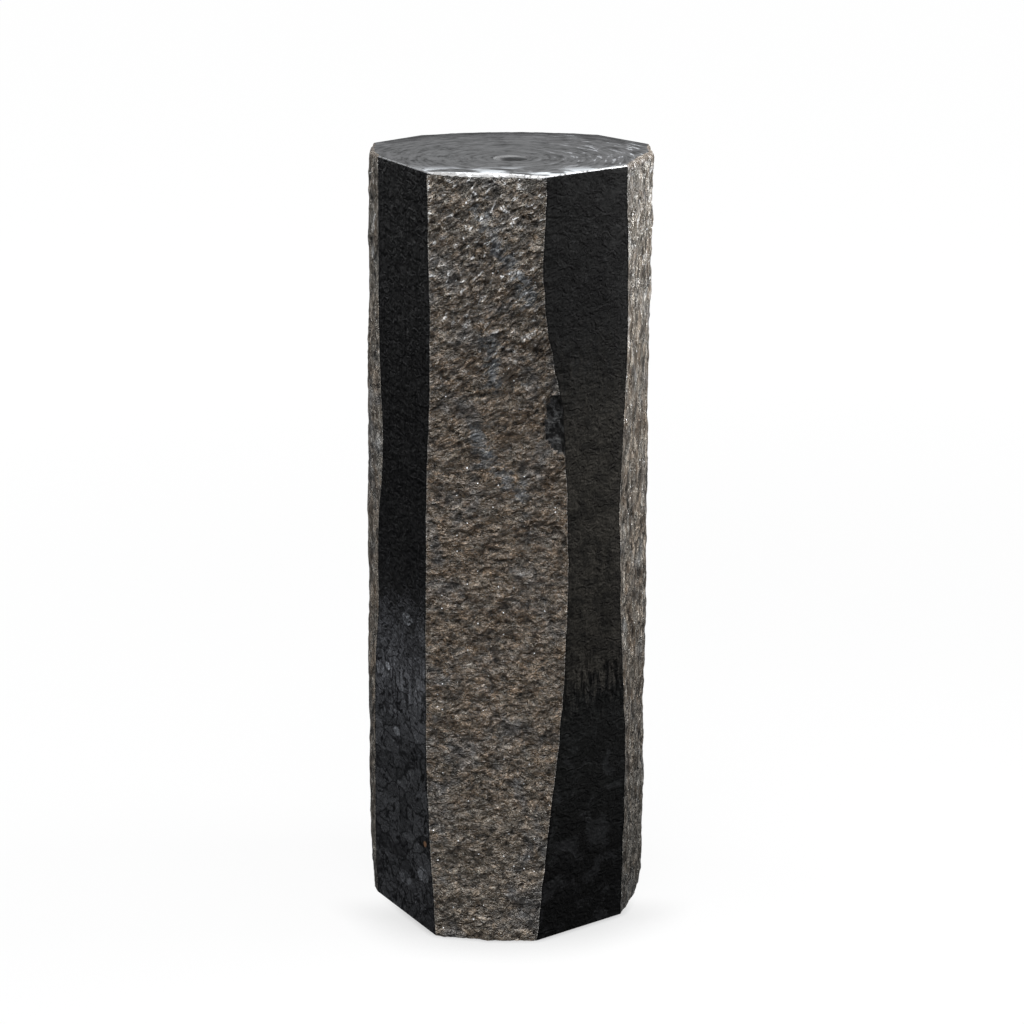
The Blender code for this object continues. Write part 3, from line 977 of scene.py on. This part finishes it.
# The arris band is pale, partly worn stone and partly a painted highlight, dimmer over the left flats, and
# dark notches of painted shade come in from below.
arrisLook = {
    "pale": (0.3, 0.305, 0.315, 1),
    "dim": (0.09, 0.092, 0.095, 1),  # a dimmer painted highlight over the left flats
    "dimBelow": -0.06,
    "notch": (0.03, 0.028, 0.026, 1),
    "notches": (0.0065, 2.0, 0.5),
    "notchLevels": (0.72, 0.44),  # they come in from below, and end this far from the top
    "notchEnd": 0.0006,
    "notched": (-0.01, 0.02, 0.0, 0.9),
    "notchDepth": 0.0004,
    "roughness": 0.22,
}


def arrisMaterial():
    material, shader, place = newMaterial("worn arris with painted highlight")
    look, ramp = arrisLook, rampsOf(arrisLook)
    across, _, height = split(place)
    notches = speckle(place, *look["notches"])
    over = calc("GREATER_THAN", across, look["dimBelow"])
    top, taken = column["height"], column["skins"][0]["arris"]
    level = remap(height, top - taken, top - look["notchEnd"], *look["notchLevels"], "LINEAR")
    notched = ramp(calc("SUBTRACT", level, notches), "notched")
    colour = blend(notched, blend(over, look["dim"], look["pale"]), look["notch"])
    paint(shader, colour, look["roughness"], bumps((notches, look["notchDepth"])))
    return material


breakLook = {
    "dark": (0.0015, 0.0015, 0.0015, 1),
    "light": (0.06, 0.061, 0.062, 1),
    "noise": (0.006, 4.0, 0.7, 0.8),
    "stretch": (1.0, 1.0, 1.0),
    "ramp": (0.46, 0.64),
    "depth": 0.0014,
    "roughness": 0.34,
}

boreLook = {
    "dark": (0.022, 0.022, 0.023, 1),
    "light": (0.045, 0.046, 0.047, 1),
    "noise": (0.004, 3.0, 0.6),
    "stretch": (0.25, 0.25, 1.0),  # the marks of the drill run round it
    "ramp": (0.35, 0.65),
    "depth": 0.0006,
    "roughness": 0.62,
}


def plainMaterial(name, look):
    material, shader, place = newMaterial(name)
    tooth = speckle(vectorCalc("MULTIPLY", place, look["stretch"]), *look["noise"])
    colour = blend(remap(tooth, *look["ramp"]), look["dark"], look["light"])
    paint(shader, colour, look["roughness"], bumps((tooth, look["depth"])))
    return material


stone = buildStone()
carveSkin(stone, {"skin": skinMaterial(), "flat": flatMaterial(), "top": topMaterial(),
                  "arris": arrisMaterial(), "break": plainMaterial("fresh break", breakLook),
                  "bore": plainMaterial("drilled and sawn", boreLook)})
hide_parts(stoneNode)
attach(stone, "root")

# the stage: a pale floor that only the camera and the shadows meet, so that the polish mirrors a dark yard
stage = {
    "floorSize": 60.0,
    "floorColour": (0.04, 0.04, 0.04, 1),
    "floorGlow": (0.893, 0.965),  # by the stone, and far from it where less light falls
    "glowReach": (0.3, 3.5),
    "shade": (0.085, 0.74),  # how far the stone's painted soft shadow spreads, and how dark it is at the stone
    "contact": (0.01, 0.7),  # the same for the painted thin dark line right under its foot
    "shadeAhead": (-0.1, -0.02),  # they fall forwards only, coming in between these
    "open": (0.5, 1.0),  # how open the floor is to the sky, right at the stone and clear of it
    "shadeSamples": 3,
    "sky": (0.765, 0.775, 0.785, 1),
    "ground": (0.03, 0.031, 0.034, 1),
    "skyRise": (-0.05, 0.55),
}


def buildFloor():
    mesh = bpy.data.meshes.new("floor")
    half = stage["floorSize"] / 2
    corners = [(-half, -half, 0), (half, -half, 0), (half, half, 0), (-half, half, 0)]
    mesh.from_pydata(corners, [], [(0, 1, 2, 3)])
    material, shader, place = newMaterial("pale floor")
    behind = remap(split(place)[1], *stage["shadeAhead"])
    away = vectorCalc("LENGTH", place)
    glow = remap(away, *stage["glowReach"], *stage["floorGlow"])
    # the stone's soft shadow and the thin dark line under its foot are painted shadow, dimming the floor's
    # glow
    for spread, darkest in (stage["shade"], stage["contact"]):
        openness = addNode("ShaderNodeAmbientOcclusion", {"Distance": spread}, place.id_data,
                           samples=stage["shadeSamples"]).outputs["AO"]
        shade = remap(openness, *stage["open"], darkest, 1.0)
        glow = times(glow, between(behind, shade, 1.0))
    values = {"Base Color": stage["floorColour"], "Roughness": 1.0, "Specular IOR Level": 0.0,
              "Emission Color": (1, 1, 1, 1), "Emission Strength": glow}
    for name, value in values.items():
        plug(shader.inputs[name], value)
    mesh.materials.append(material)
    floor = addObject("floor", mesh)
    floor.visible_glossy = False
    floor.visible_diffuse = False


def buildSky():
    world = bpy.data.worlds.new("studio")
    bpy.context.scene.world = world
    world.use_nodes = True
    tree = world.node_tree
    direction = tree.nodes.new("ShaderNodeTexCoord").outputs["Generated"]
    rising = remap(split(direction)[2], *stage["skyRise"], easing="LINEAR")
    plug(tree.nodes["Background"].inputs[0], blend(rising, stage["ground"], stage["sky"]))


# each softbox: where it hangs, what it points at, its size and its power in watts
lights = {
    "overhead": {"at": (-0.25, -0.6, 3.3), "aim": (-0.05, -0.1, 0.8), "size": (2.6, 1.8), "power": 170},
    "right": {"at": (0.75, 0.05, 1.18), "aim": (0.16, 0.0, 0.78), "size": (0.35, 0.35), "power": 20},
    "front": {"at": (-0.9, -3.2, 1.9), "aim": (0.0, 0.0, 0.45), "size": (1.4, 1.4), "power": 45},
    "left": {"at": (-1.3, 0.35, 1.45), "aim": (-0.16, 0.0, 0.6), "size": (0.6, 0.6), "power": 8},
}


def buildLights():
    for name, light in lights.items():
        lamp = bpy.data.lights.new(name, "AREA")
        lamp.shape = "RECTANGLE"
        lamp.size, lamp.size_y = light["size"]
        lamp.energy = light["power"]
        holder = addObject(name, lamp)
        holder.location = light["at"]
        facing = Vector(light["aim"]) - Vector(light["at"])
        holder.rotation_euler = facing.to_track_quat("-Z", "Y").to_euler()


view = {"at": (0.0037, -3.785, 1.548), "down": 15.717, "lens": 115.3, "sensor": 36, "far": 200}


def buildCamera():
    camera = bpy.data.cameras.new("camera")
    camera.lens = view["lens"]
    camera.sensor_width = view["sensor"]
    camera.clip_end = view["far"]
    holder = addObject("camera", camera)
    holder.location = view["at"]
    holder.rotation_euler = (math.radians(90 - view["down"]), 0, 0)
    bpy.context.scene.camera = holder


buildFloor()
buildSky()
buildLights()
buildCamera()
bpy.context.scene.view_settings.view_transform = "Standard"
print("stage, lights and camera are set")

bpy.context.view_layer.update()
